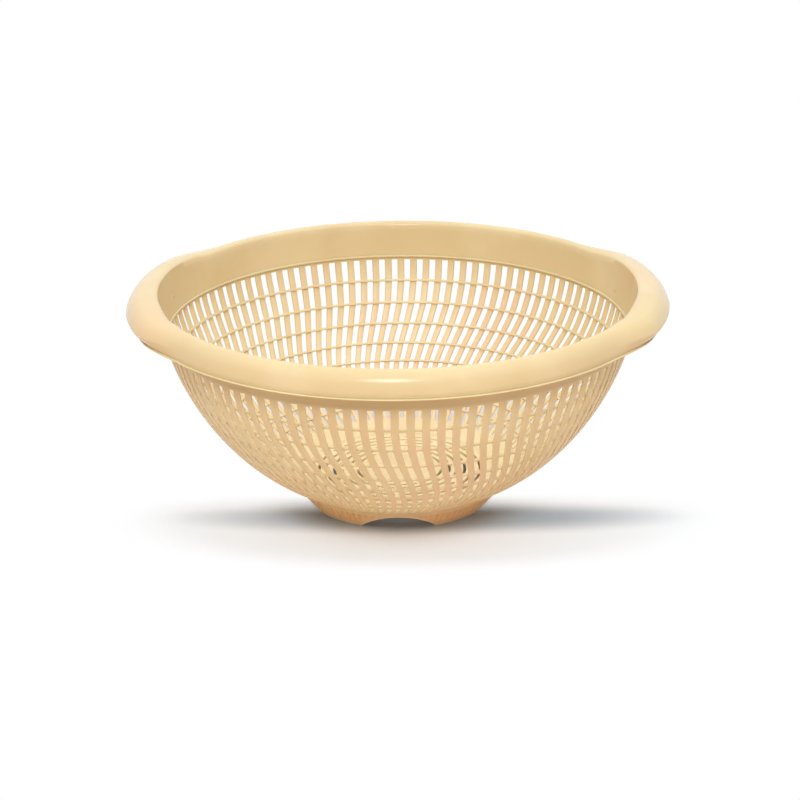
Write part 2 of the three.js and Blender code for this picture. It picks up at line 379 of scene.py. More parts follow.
class ShaderSheet:
    """The node tree of one material, or of the sky."""

    def __init__(self, name: str, world: bpy.types.World | None = None) -> None:
        """Starts an empty material, or empties the sky that is given.

        Args:
            name: Name of a new material.
            world: The sky to use in its place.
        """
        self.material = world or bpy.data.materials.new(name)
        self.material.use_nodes = True
        self.tree = self.material.node_tree
        self.tree.nodes.clear()

    def node(
        self,
        kind: str,
        settings: Mapping[str, Any] | None = None,
        inputs: Mapping[str | int, Any] | None = None,
        output: str | int = 0,
    ) -> Signal:
        """Adds a node.

        Args:
            kind: The node's type.
            settings: Its properties, set before its sockets.
            inputs: A value or a signal for each socket, by name or number.
            output: The socket to give back.

        Returns:
            The signal of that socket.
        """
        node = self.tree.nodes.new(kind)
        for name, value in (settings or {}).items():
            setattr(node, name, value)
        for key, value in (inputs or {}).items():
            if isinstance(value, Signal):
                self.tree.links.new(value.socket, node.inputs[key])
            else:
                node.inputs[key].default_value = value
        return Signal(self, node.outputs[output] if node.outputs else None)

    def mix(self, factor: Any, first: Any, second: Any) -> Signal:
        """Mixes two colours by a factor, on the node's colour sockets 6 and 7 and output 2.

        Args:
            factor: 0 for the first colour and 1 for the second.
            first: A colour or a signal.
            second: A colour or a signal.

        Returns:
            The mixed colour.
        """
        settings = {"data_type": "RGBA"}
        inputs = {0: factor, 6: first, 7: second}
        return self.node("ShaderNodeMix", settings, inputs, output=2)

    def noise(
        self, scale: float, detail: float = 2, stretch: Sequence[float] = (1, 1, 1)
    ) -> Signal:
        """Cloudy noise on the piece's own coordinates.

        Args:
            scale: Clouds to the metre.
            detail: Octaves.
            stretch: Scale along each axis.

        Returns:
            The noise, about 0.5 in the middle.
        """
        place = self.node("ShaderNodeTexCoord", output="Object")
        stretched = self.node("ShaderNodeMapping", inputs={"Vector": place, "Scale": stretch})
        inputs = {"Vector": stretched, "Scale": scale, "Detail": detail}
        return self.node("ShaderNodeTexNoise", inputs=inputs)


class WearAndEdgeHighlight(Enum):
    """How much handling a surface shows as dulling scuffs, and how strong the painted highlight on
    a marked edge is, as a share of full.
    """

    FRESH = 0.15
    HANDLED = 0.5
    STOOD_ON = 0.8


@dataclass(frozen=True)
class MouldedPlastic:
    """Cream polypropylene as it comes from the mould.

    Attributes:
        name: Name of the material.
        tone: Linear colour of the body.
        pale_tone: Linear colour where the melt ran thin or cooled pale.
        warm_tone: Linear colour of the faint rosy clouds in the melt.
        roughness: Roughness of the fresh face.
        gloss: Strength of the mirror-like part, 0.5 for plain plastic.
        wear_and_edge_highlight: How much handling the surface shows, and how strong the painted
            highlight on a marked edge is.
        highlight_tone: Linear colour of the painted highlight on an edge, where a piece marks one:
            a paler colour that stands for light caught on the rounded edge.
        highlight_span: Mark values between which the painted highlight comes in.
        flow_scale: Clouds of the melt to the metre.
        flow_detail: Octaves of those clouds.
        flow_span: Cloud values between which the pale tone comes in.
        flow_dulling: Roughness between the dullest and the shiniest cloud.
        blush_scale_share: Scale of the rosy clouds, of flow_scale.
        blush_stretch: Their scale along each axis.
        blush_span: Cloud values between which the warm tone comes in.
        blush_amount: Share of the warm tone in the middle of a rosy cloud.
        grain_scale: Dimples of the fine orange-peel grain to the metre.
        grain_relief: Height of the grain, of grain_depth.
        grain_depth: Depth of the whole relief.
        relief_strength: How strongly the relief bends the light.
        scuff_scale: Scuffs to the metre.
        scuff_detail: Octaves of the scuffs.
        scuff_span: Noise values between which a scuff comes in.
        scuff_dulling: Roughness that a full scuff adds.
        scuff_relief: Height of the scuffs, of grain_depth.
        refraction: Index of refraction.
        glow: Share of the light that passes through the skin.
        glow_tone: How far red, green and blue light go, of glow_depth.
        glow_depth: How far the light goes under the skin.
    """

    name: str
    tone: Tone = (0.80, 0.65, 0.385)
    pale_tone: Tone = (0.84, 0.70, 0.44)
    warm_tone: Tone = (0.82, 0.62, 0.39)
    roughness: float = 0.34
    gloss: float = 0.3
    wear_and_edge_highlight: WearAndEdgeHighlight = WearAndEdgeHighlight.FRESH
    highlight_tone: Tone = (0.96, 0.86, 0.70)
    highlight_span: Span = (0.2, 0.9)
    flow_scale: float = 22
    flow_detail: float = 3
    flow_span: Span = (0.42, 0.66)
    flow_dulling: float = 0.05
    blush_scale_share: float = 0.6
    blush_stretch: tuple[float, float, float] = (1, 1, 1.7)
    blush_span: Span = (0.5, 0.7)
    blush_amount: float = 0.7
    grain_scale: float = 1500
    grain_relief: float = 0.5
    grain_depth: float = 0.014 * MM
    relief_strength: float = 0.35
    scuff_scale: float = 120
    scuff_detail: float = 5
    scuff_span: Span = (0.5, 0.8)
    scuff_dulling: float = 0.06
    scuff_relief: float = 0.2
    refraction: float = 1.49
    glow: float = 0.3
    glow_tone: Tone = (1.0, 0.7, 0.4)
    glow_depth: float = 2.2 * MM

    def material(self) -> bpy.types.Material:
        """Draws the node tree of the plastic.

        Returns:
            The material.
        """
        sheet = ShaderSheet(self.name)
        clouds = sheet.noise(self.flow_scale, self.flow_detail)
        blush = sheet.noise(
            self.flow_scale * self.blush_scale_share, stretch=self.blush_stretch
        ).ramp(*self.blush_span)
        pale = sheet.mix(clouds.ramp(*self.flow_span), (*self.tone, 1), (*self.pale_tone, 1))
        body = sheet.mix(blush * self.blush_amount, pale, (*self.warm_tone, 1))
        # Painted highlight: a paler colour along the marked edge, for light caught on the rounded
        # lower edge of the foot.
        mark = sheet.node("ShaderNodeAttribute", {"attribute_name": EDGE_HIGHLIGHT_MARK}, output="Fac")
        edge_highlight = mark.ramp(*self.highlight_span) * self.wear_and_edge_highlight.value
        colour = sheet.mix(edge_highlight, body, (*self.highlight_tone, 1))
        grain = sheet.noise(self.grain_scale)
        scuffs = sheet.noise(self.scuff_scale, self.scuff_detail)
        scuffed = scuffs.ramp(*self.scuff_span) * self.wear_and_edge_highlight.value
        unevenness = (clouds - 0.5) * self.flow_dulling
        roughness = self.roughness + scuffed * self.scuff_dulling + unevenness
        relief = grain * self.grain_relief + scuffs * self.wear_and_edge_highlight.value * self.scuff_relief
        bump = sheet.node(
            "ShaderNodeBump",
            inputs={
                "Strength": self.relief_strength,
                "Distance": self.grain_depth,
                "Height": relief,
            },
        )
        shader = sheet.node(
            "ShaderNodeBsdfPrincipled",
            {"subsurface_method": "RANDOM_WALK"},
            {
                "Base Color": colour,
                "Roughness": roughness,
                "IOR": self.refraction,
                "Specular IOR Level": self.gloss,
                "Subsurface Weight": self.glow,
                "Subsurface Radius": self.glow_tone,
                "Subsurface Scale": self.glow_depth,
                "Normal": bump,
            },
        )
        sheet.node("ShaderNodeOutputMaterial", inputs={"Surface": shader})
        return sheet.material

    def dress(self, piece: bpy.types.Object) -> bpy.types.Object:
        """Shades a piece and gives it this plastic.

        Args:
            piece: The piece to dress.

        Returns:
            The same piece.
        """
        smooth(piece)
        piece.data.materials.append(self.material())
        return piece


# Sub-assemblies


@dataclass(frozen=True)
class WallForm:
    """The bowl's outer face: a rounded curve that would close on the axis just above the table.

    Attributes:
        top_radius: Radius where the wall hangs from the smooth band.
        step_height: Height of that place.
        nadir_height: Height at which the curve would close.
        seat_height: Height at which the wall ends on the foot ring.
        fullness: Higher is squarer in the belly.
        drop: Lower leans in sooner below the band.
        samples: Steps that the curve's length is measured in.
    """

    top_radius: float = 122.5 * MM
    step_height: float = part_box("upper_band")[0].z
    nadir_height: float = 0.8 * MM
    seat_height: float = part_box("foot_ring")[1].z
    fullness: float = 2.6
    drop: float = 1.36
    samples: int = 600

    def radius(self, height: np.ndarray) -> np.ndarray:
        """Radius of the outer face at a height."""
        share = np.clip((self.step_height - height) / (self.step_height - self.nadir_height), 0, 1)
        return self.top_radius * (1 - share**self.drop) ** (1 / self.fullness)

    def _curve(self) -> tuple[np.ndarray, np.ndarray, np.ndarray]:
        """Samples the outer face from the step down to the foot ring.

        Returns:
            Radius, height and length so far of each sample.
        """
        heights = np.linspace(self.step_height, self.seat_height, self.samples)
        radii = self.radius(heights)
        steps = np.hypot(np.diff(radii), np.diff(heights))
        return radii, heights, np.concatenate(([0], np.cumsum(steps)))

    def length(self) -> float:
        """Length of the curve from the step to the foot ring."""
        return float(self._curve()[2][-1])

    def share_at(self, height: np.ndarray) -> np.ndarray:
        """Share of the curve's length at a height."""
        _, heights, lengths = self._curve()
        return np.interp(-height, -heights, lengths) / lengths[-1]

    def point(
        self, share: np.ndarray | float, depth: float = 0
    ) -> tuple[np.ndarray, np.ndarray]:
        """Finds points of the wall.

        Args:
            share: Shares of the curve's length, below 0 above the step.
            depth: How far the points lie below the outer face.

        Returns:
            Their radii and their heights.
        """
        radii, heights, lengths = self._curve()
        along = np.asarray(share) * lengths[-1]
        slope_r = np.gradient(radii, lengths)
        slope_z = np.gradient(heights, lengths)
        run_r = np.interp(along, lengths, slope_r)
        run_z = np.interp(along, lengths, slope_z)
        above = np.minimum(along, 0)
        radius = np.interp(along, lengths, radii) + run_z * depth
        height = np.interp(along, lengths, heights) - run_r * depth - above
        return radius, height


@dataclass(frozen=True)
class SlotPattern:
    """The slots' rows and the swirl of the ribs between them.

    Attributes:
        rib_count: Ribs in the whole ring.
        slot_share: Width of a slot, of the pitch from rib to rib.
        row_count: Rows of slots.
        top_row_share: Length of the top row, of the wall's.
        row_shrink_share: What each row loses to the one above it.
        swirl_angle: Sideways swing of the ribs in degrees.
        swirl_start_share: Where the swing starts.
        swirl_turn_share: Where it turns back.
    """

    rib_count: int = 102
    slot_share: float = 0.43
    row_count: int = 9
    top_row_share: float = 0.133
    row_shrink_share: float = 0.0031
    swirl_angle: float = 6.1
    swirl_start_share: float = 0.15
    swirl_turn_share: float = 0.745

    @property
    def pitch(self) -> float:
        """Angle from rib to rib, in radians."""
        return FULL_TURN / self.rib_count

    def row_end(self, row: float) -> float:
        """Share of the wall's length at which a row of slots ends."""
        return row * (self.top_row_share - self.row_shrink_share * row)

    def swing(self, share: np.ndarray) -> np.ndarray:
        """Swings the ribs sideways, in a straight run along each row of slots.

        Args:
            share: Shares of the wall's length.

        Returns:
            The swing in radians.
        """
        ends = np.array([self.row_end(row) for row in range(self.row_count + 1)])
        phase = (ends - self.swirl_start_share) / (self.swirl_turn_share - self.swirl_start_share)
        swings = math.radians(self.swirl_angle) * (1 - np.cos(math.pi * np.maximum(phase, 0))) / 2
        return np.interp(share, ends, swings)


@dataclass
class SlottedWall:
    """The wall of swirling ribs, with the strip above its slots and the ring below them.

    Attributes:
        form: The wall's outer face.
        pattern: The rows and ribs.
        depth: Thickness of the ribs.
        taper_share: Width of a rib's inner face, of its outer one.
        edge_window: How near to a rib's edge its points lie, of half a rib.
        collar_height: Height of the strip above the slots.
        hidden_lap: How far the wall reaches up into the band.
        row_steps: Steps down each row of slots.
        ring_steps: Steps down the ring below the slots.
        edge_round: Rounding of every edge.
        finish: The wall's plastic.
        nodes: The solids that the wall stands for.
    """

    form: WallForm
    pattern: SlotPattern
    depth: float = 1.2 * MM
    taper_share: float = 0.8
    edge_window: float = 0.25
    collar_height: float = 1.5 * MM
    hidden_lap: float = 0.6 * MM
    row_steps: int = 3
    ring_steps: int = 2
    edge_round: float = 0.28 * MM
    finish: MouldedPlastic = MouldedPlastic("wall_plastic")
    nodes: tuple[str, ...] = tuple(f"rib_panel_{index}" for index in range(1, 7))

    def _shares(self) -> tuple[np.ndarray, int, int]:
        """Places the cross lines of the cell.

        Returns:
            Shares of the wall's length, and the numbers of the slot's first and last line.
        """
        top = self.collar_height / self.form.length()
        ends = [top] + [self.pattern.row_end(row) for row in range(1, self.pattern.row_count + 1)]
        lines = [-self.hidden_lap / self.form.length(), 0]
        first = len(lines)
        for start, end in pairwise(ends):
            lines.extend(np.linspace(start, end, self.row_steps + 1)[:-1])
        last = len(lines)
        lines.extend(np.linspace(ends[-1], 1, self.ring_steps + 1))
        return np.array(lines), first, last

    def _cell(self) -> bpy.types.Object:
        """Models one pitch of the wall: a rib with half a slot at each side, as a curved sheet.

        It starts as a flat grid of side 1, whose edges lie 0.5 from its middle.

        Returns:
            The cell, one face thick.
        """
        shares, first, last = self._shares()
        pitch = self.pattern.pitch
        half_slot = pitch * self.pattern.slot_share / 2
        columns = np.array([0, half_slot, pitch - half_slot, pitch])
        across = len(columns) - 1
        down = len(shares) - 1
        bpy.ops.mesh.primitive_grid_add(x_subdivisions=across, y_subdivisions=down, size=1)
        cell = named("slotted_wall")
        middle = 1 / (2 * across)
        with editing(cell):
            bpy.ops.mesh.select_mode(type="FACE")
            bpy.ops.object.mode_set(mode="OBJECT")
            for face in cell.data.polygons:
                row = (0.5 - face.center.y) * down
                face.select = abs(face.center.x) > middle and first < row < last
            bpy.ops.object.mode_set(mode="EDIT")
            bpy.ops.mesh.delete(type="FACE")

        def wrap(points: np.ndarray) -> np.ndarray:
            """Bends the flat grid onto the wall.

            Args:
                points: Places of the vertices, one row each.

            Returns:
                Their new places.
            """
            column = np.rint((points[:, 0] + 0.5) * across).astype(int)
            share = shares[np.rint((0.5 - points[:, 1]) * down).astype(int)]
            radius, height = self.form.point(share)
            return polar(radius, columns[column] + self.pattern.swing(share), height)

        reshape(cell, wrap)
        return cell

    def _draft(self, points: np.ndarray) -> np.ndarray:
        """Narrows the inner face of every rib, so that the slots widen into the bowl.

        Args:
            points: Places of the vertices, one row each.

        Returns:
            Their new places.
        """
        outer, inner = np.split(points, 2)
        pitch = self.pattern.pitch
        swing = self.pattern.swing(self.form.share_at(outer[:, 2]))
        from_rib = (azimuth_of(outer) - swing) % pitch - pitch / 2
        half_rib = pitch * (1 - self.pattern.slot_share) / 2
        on_edge = np.abs(np.abs(from_rib) - half_rib) < half_rib * self.edge_window
        shift = np.where(on_edge, -np.sign(from_rib) * half_rib * (1 - self.taper_share), 0)
        x, y, z = inner.T
        cosine, sine = np.cos(shift), np.sin(shift)
        narrowed = np.column_stack((x * cosine - y * sine, x * sine + y * cosine, z))
        return np.vstack((outer, narrowed))

    def build(self) -> bpy.types.Object:
        """Copies the cell round the axis, gives the sheet its thickness and rounds every edge.

        Returns:
            The dressed wall.
        """
        wall = ring_of(self._cell(), self.pattern.rib_count)
        with editing(wall, "SELECT"):
            bpy.ops.mesh.remove_doubles(threshold=WELD_DISTANCE)
        finish_with(wall, "SOLIDIFY", thickness=self.depth, offset=-1, use_even_offset=True)
        reshape(wall, self._draft)
        round_edges(wall, self.edge_round, angle=50, clamp=False)
        return self.finish.dress(wall)


@dataclass
class Hoops:
    """The thin hoops inside the ribs, one at the foot of each row of slots but the last.

    Attributes:
        form: The wall's outer face.
        pattern: The rows and ribs.
        rib_depth: Thickness of the ribs.
        seat_lap: How far a hoop is sunk into the ribs.
        reach: How far it stands out of them into the bowl.
        heights: Heights of the top and the bottom hoop.
        edge_round: Rounding of a hoop's edges.
        steps: Steps round the axis.
        finish: The hoops' plastic.
    """

    form: WallForm
    pattern: SlotPattern
    rib_depth: float = 1.2 * MM
    seat_lap: float = 0.4 * MM
    reach: float = 1.15 * MM
    heights: Span = (1.5 * MM, 0.8 * MM)
    edge_round: float = 0.3 * MM
    steps: int = 306
    finish: MouldedPlastic = MouldedPlastic("hoop_plastic")

    @property
    def nodes(self) -> tuple[str, ...]:
        """The solids that the hoops stand for."""
        return tuple(f"hoop_{row}" for row in range(1, self.pattern.row_count))

    def _hoop(self, row: int) -> bpy.types.Object:
        """Turns one hoop at the foot of a row.

        Args:
            row: Number of the row, from 1 at the top.

        Returns:
            The hoop.
        """
        share = self.pattern.row_end(row)
        near = self.rib_depth - self.seat_lap
        far = self.rib_depth + self.reach
        fall = (row - 1) / (self.pattern.row_count - 2)
        top, bottom = self.heights
        half = (top + (bottom - top) * fall) / 2 / self.form.length()
        start, end = share - half, share + half
        corners = [(start, near), (end, near), (end, far), (start, far)]
        outline = [tuple(float(part) for part in self.form.point(*corner)) for corner in corners]
        hoop = turned(f"hoop_section_{row}", outline, self.steps, closed=True)
        round_edges(hoop, self.edge_round, angle=50)
        return hoop

    def build(self) -> bpy.types.Object:
        """Makes all the hoops as one piece."""
        hoops = joined("hoops", *(self._hoop(row) for row in range(1, self.pattern.row_count)))
        return self.finish.dress(hoops)


@dataclass(frozen=True)
class PinMark:
    """A faint round mark that a pin of the mould left on the band's inner face.

    Attributes:
        azimuth: Angle round the axis in degrees.
        radius: Radius of the face that it stands on.
        height: Height of its middle.
        size: Radius of the mark itself.
        proud: How far it stands out of the face.
        root: How far it reaches into the band.
        round_share: Rounding of its edge, of how far it stands out.
        sides: Steps round its edge.
    """

    azimuth: float
    radius: float
    height: float
    size: float = 1.1 * MM
    proud: float = 0.06 * MM
    root: float = 0.5 * MM
    round_share: float = 0.8
    sides: int = 24

    def build(self) -> bpy.types.Object:
        """Makes the mark as a low rounded disc that is rooted in the band.

        Returns:
            The mark.
        """
        turn = math.radians(self.azimuth)
        middle = self.radius + (self.root - self.proud) / 2
        bpy.ops.mesh.primitive_cylinder_add(
            vertices=self.sides, radius=self.size, depth=self.root + self.proud,
            rotation=(0, math.pi / 2, turn),
            location=(middle * math.cos(turn), middle * math.sin(turn), self.height),
        )
        mark = named("pin_mark")
        round_edges(mark, self.proud * self.round_share)
        return mark


@dataclass
class RolledRim:
    """The rolled rim with its two grips, and the smooth band below it with its bead.

    Attributes:
        form: The wall that the band carries.
        wall: Thickness of the skin.
        band_flare: How much wider the band is at its top than at its foot.
        opening_height: Height of the edge of the opening.
        crest_height: Height of the top of the roll.
        lip_height: Height of the roll's lower lip.
        reach: Width of the roll away from the grips.
        lip_flare: How far the fine bead stands out along the lip.
        bead_radius: Radius of the bead at the foot of the band.
        bead_reach: How far that bead stands into the bowl.
        bead_cut_share: Height at which that bead is cut flat below, of its radius.
        bead_sides: Steps round its section.
        grip_reach: How much wider the roll is at a grip.
        grip_lip_reach: How much wider it is there at the lip.
        grip_fullness: Share of the roll's height, and the width that a grip gains there.
        fullness_span: Shares of the roll's width between which that width comes in.
        grip_angles: Half of a grip's angle at full width, and its fade, in degrees.
        grip_rise: How far a grip's inner edge rises.
        grip_rise_angles: The same two angles for the rise.
        opening_step: How far the opening steps out at a grip.
        opening_step_angles: The same two angles for the step.
        waist_share: Share of the roll's height below which a grip draws in.
        band_steps: Steps up the band.
        curve_steps: Steps between two points of the roll.
        steps: Steps round the axis.
        lip_round: Rounding of the lip's two edges.
        lip_window: Height above the lip within which its edges are found.
        lip_run: Radius over which an edge may run and still go along the lip.
        lip_bead: Quarter of the width of the fine bead along the lip.
        lip_bead_round_share: Rounding of that bead, of lip_bead.
        finish: The rim's plastic, in a darker tone than the body's: painted shade that offsets the
            strong light and gloss on its top and grips.
        roll_shares: The roll's outline, in shares of its width and its height.
        pin_marks: The faint round marks on the band's inner face.
        nodes: The solids that the rim stands for.
    """

    form: WallForm
    wall: float = 1.9 * MM
    band_flare: float = 2.4 * MM
    opening_height: float = 113.8 * MM
    crest_height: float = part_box("rim_front")[1].z
    lip_height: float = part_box("rim_front")[0].z - 0.6 * MM
    reach: float = 10 * MM
    lip_flare: float = 1 * MM
    bead_radius: float = 0.8 * MM
    bead_reach: float = 0.6 * MM
    bead_cut_share: float = 0.35
    bead_sides: int = 12
    grip_reach: float = 8.6 * MM
    grip_lip_reach: float = 3.6 * MM
    grip_fullness: tuple[Span, ...] = (
        (0.2, 0),
        (0.46, 1.0 * MM),
        (0.68, 1.3 * MM),
        (0.86, 2.0 * MM),
        (1, 2.3 * MM),
    )
    fullness_span: Span = (0.2, 0.5)
    grip_angles: Span = (22, 16)
    grip_rise: float = 3.55 * MM
    grip_rise_angles: Span = (12, 24)
    opening_step: float = 2 * MM
    opening_step_angles: Span = (25, 6)
    waist_share: float = 0.45
    band_steps: int = 6
    curve_steps: int = 4
    steps: int = 360
    lip_round: float = 0.5 * MM
    lip_window: float = 0.4 * MM
    lip_run: float = 0.3 * MM
    lip_bead: float = 0.25 * MM
    lip_bead_round_share: float = 0.8
    # Darker tone than the body's: painted shade on the rim, offsetting the strong light and gloss
    # on its top and grips.
    finish: MouldedPlastic = MouldedPlastic(
        "rim_plastic",
        tone=(0.775, 0.62, 0.35),
        pale_tone=(0.82, 0.67, 0.40),
        warm_tone=(0.80, 0.59, 0.355),
        roughness=0.2,
        gloss=0.32,
        wear_and_edge_highlight=WearAndEdgeHighlight.HANDLED,
    )
    roll_shares: tuple[Span, ...] = (
        (0.07, 0.93),
        (0.25, 1),
        (0.45, 0.97),
        (0.65, 0.86),
        (0.83, 0.68),
        (0.94, 0.46),
        (1, 0.24),
        (0.99, 0.1),
        (0.98, 0),
    )
    pin_marks: tuple[PinMark, ...] = (
        PinMark(azimuth=171.1, radius=122.3 * MM, height=104.3 * MM),
        PinMark(azimuth=15.4, radius=121.9 * MM, height=101.5 * MM),
    )
    nodes: tuple[str, ...] = ("grip_right", "grip_left", "rim_back", "rim_front", "upper_band")

    @property
    def band_bottom_radius(self) -> float:
        """Inner radius at the foot of the band."""
        return self.form.top_radius - self.wall

    @property
    def opening_radius(self) -> float:
        """Radius of the edge of the opening, away from the grips."""
        return self.band_bottom_radius + self.band_flare

    @staticmethod
    def _amount(azimuth: np.ndarray, angles: Span) -> np.ndarray:
        """Fades a feature of the grips along the rim.

        Args:
            azimuth: Angles round the axis in radians.
            angles: Half of the angle where it is full, and the angle of its fade, in degrees.

        Returns:
            1 about the middle of a grip, 0 on the plain rim.
        """
        from_middle = np.abs((azimuth + math.pi / 2) % math.pi - math.pi / 2)
        full, fade = (math.radians(angle) for angle in angles)
        return 1 - smoothstep(from_middle, full, full + fade)

    def _section(self) -> Outline:
        """Draws the skin away from the grips, up the band and over the roll to the lip.

        Returns:
            Radius and height of each point.
        """
        tall = self.crest_height - self.lip_height
        edge_share = (0, (self.opening_height - self.lip_height) / tall)
        roll = through([edge_share, *self.roll_shares], self.curve_steps)
        foot, step = self.band_bottom_radius, self.form.step_height
        band = [
            (foot + self.band_flare * t, step + (self.opening_height - step) * t)
            for t in np.arange(self.band_steps) / self.band_steps
        ]
        return band + [
            (self.opening_radius + self.reach * across, self.lip_height + tall * min(up, 1))
            for across, up in roll
        ]

    def _swell(self, points: np.ndarray) -> np.ndarray:
        """Widens the plain rim into its grips and lifts their inner edge.

        Args:
            points: Places of the vertices, one row each.

        Returns:
            Their new places.
        """
        radius = np.hypot(points[:, 0], points[:, 1])
        height = points[:, 2]
        azimuth = azimuth_of(points)
        amount = self._amount(azimuth, self.grip_angles)
        rise = self.grip_rise * self._amount(azimuth, self.grip_rise_angles)
        step_out = self.opening_step * self._amount(azimuth, self.opening_step_angles)
        up = (height - self.form.step_height) / (self.opening_height - self.form.step_height)
        across = (radius - self.opening_radius) / self.reach
        waist = self.waist_share * (self.crest_height - self.lip_height)
        tuck = np.clip((height - self.lip_height) / waist, 0, 1)
        outer_reach = self.grip_lip_reach + (self.grip_reach - self.grip_lip_reach) * tuck
        up_roll = (height - self.lip_height) / (self.crest_height - self.lip_height)
        fuller = np.interp(up_roll, *zip(*self.grip_fullness))
        fuller *= smoothstep(across, *self.fullness_span)
        share = np.clip(across, 0, 1)
        on_band = across <= 0
        push = np.where(
            on_band,
            step_out * np.clip(up, 0, 1),
            step_out * (1 - share) + (outer_reach * share + fuller) * amount,
        )
        lift = np.where(on_band, rise * np.clip(up, 0, 1), rise * (1 - share))
        scale = (radius + push) / radius
        return np.column_stack((points[:, 0] * scale, points[:, 1] * scale, height + lift))

    def _bead(self) -> bpy.types.Object:
        """Makes the small bead along the foot of the band, inside the bowl.

        Returns:
            The bead.
        """
        bpy.ops.mesh.primitive_torus_add(
            major_segments=self.steps,
            minor_segments=self.bead_sides,
            major_radius=self.band_bottom_radius - self.bead_reach + self.bead_radius,
            minor_radius=self.bead_radius,
            location=(0, 0, self.form.step_height + self.bead_radius),
        )
        bead = named("step_bead")
        with editing(bead, "SELECT"):
            low = self.form.step_height + self.bead_radius * self.bead_cut_share
            bpy.ops.mesh.bisect(
                plane_co=(0, 0, low), plane_no=(0, 0, 1), use_fill=True, clear_inner=True
            )
        weld(bead)
        return bead

    def _lip(self) -> bpy.types.Object:
        """Makes the fine bead that stands out along the lip.

        Returns:
            The bead.
        """
        face = self.opening_radius + self.reach
        low = self.lip_height
        outline = [
            (face - self.wall / 2, low),
            (face + self.lip_flare, low),
            (face + self.lip_flare, low + 2 * self.lip_bead),
            (face - self.wall / 2, low + 3 * self.lip_bead),
        ]
        lip = turned("lip_bead", outline, self.steps, closed=True)
        round_edges(lip, self.lip_bead * self.lip_bead_round_share, angle=40, segments=3)
        reshape(lip, self._swell)
        return lip

    def build(self) -> bpy.types.Object:
        """Turns the skin, swells the grips, gives it its wall and rounds the lip.

        Returns:
            The dressed rim, with its beads and marks.
        """
        rim = turned("rim_and_band", self._section(), self.steps, closed=False)
        top = max(rim.data.polygons, key=lambda face: face.center.z)
        flip_if(rim, top.normal.z < 0)
        reshape(rim, self._swell)
        finish_with(rim, "SOLIDIFY", thickness=self.wall, offset=-1, use_even_offset=True)
        lip = self.lip_height + self.lip_window
        inside = self.opening_radius + self.reach / 2
        with editing(rim):
            select_edges(
                rim,
                lambda a, b: max(a.z, b.z) < lip and min(a.xy.length, b.xy.length) > inside
                and abs(a.xy.length - b.xy.length) < self.lip_run,
            )
            bpy.ops.mesh.bevel(offset=self.lip_round, segments=3, affect="EDGES")
        marks = [mark.build() for mark in self.pin_marks]
        return self.finish.dress(joined("rim_and_band", rim, self._bead(), self._lip(), *marks))


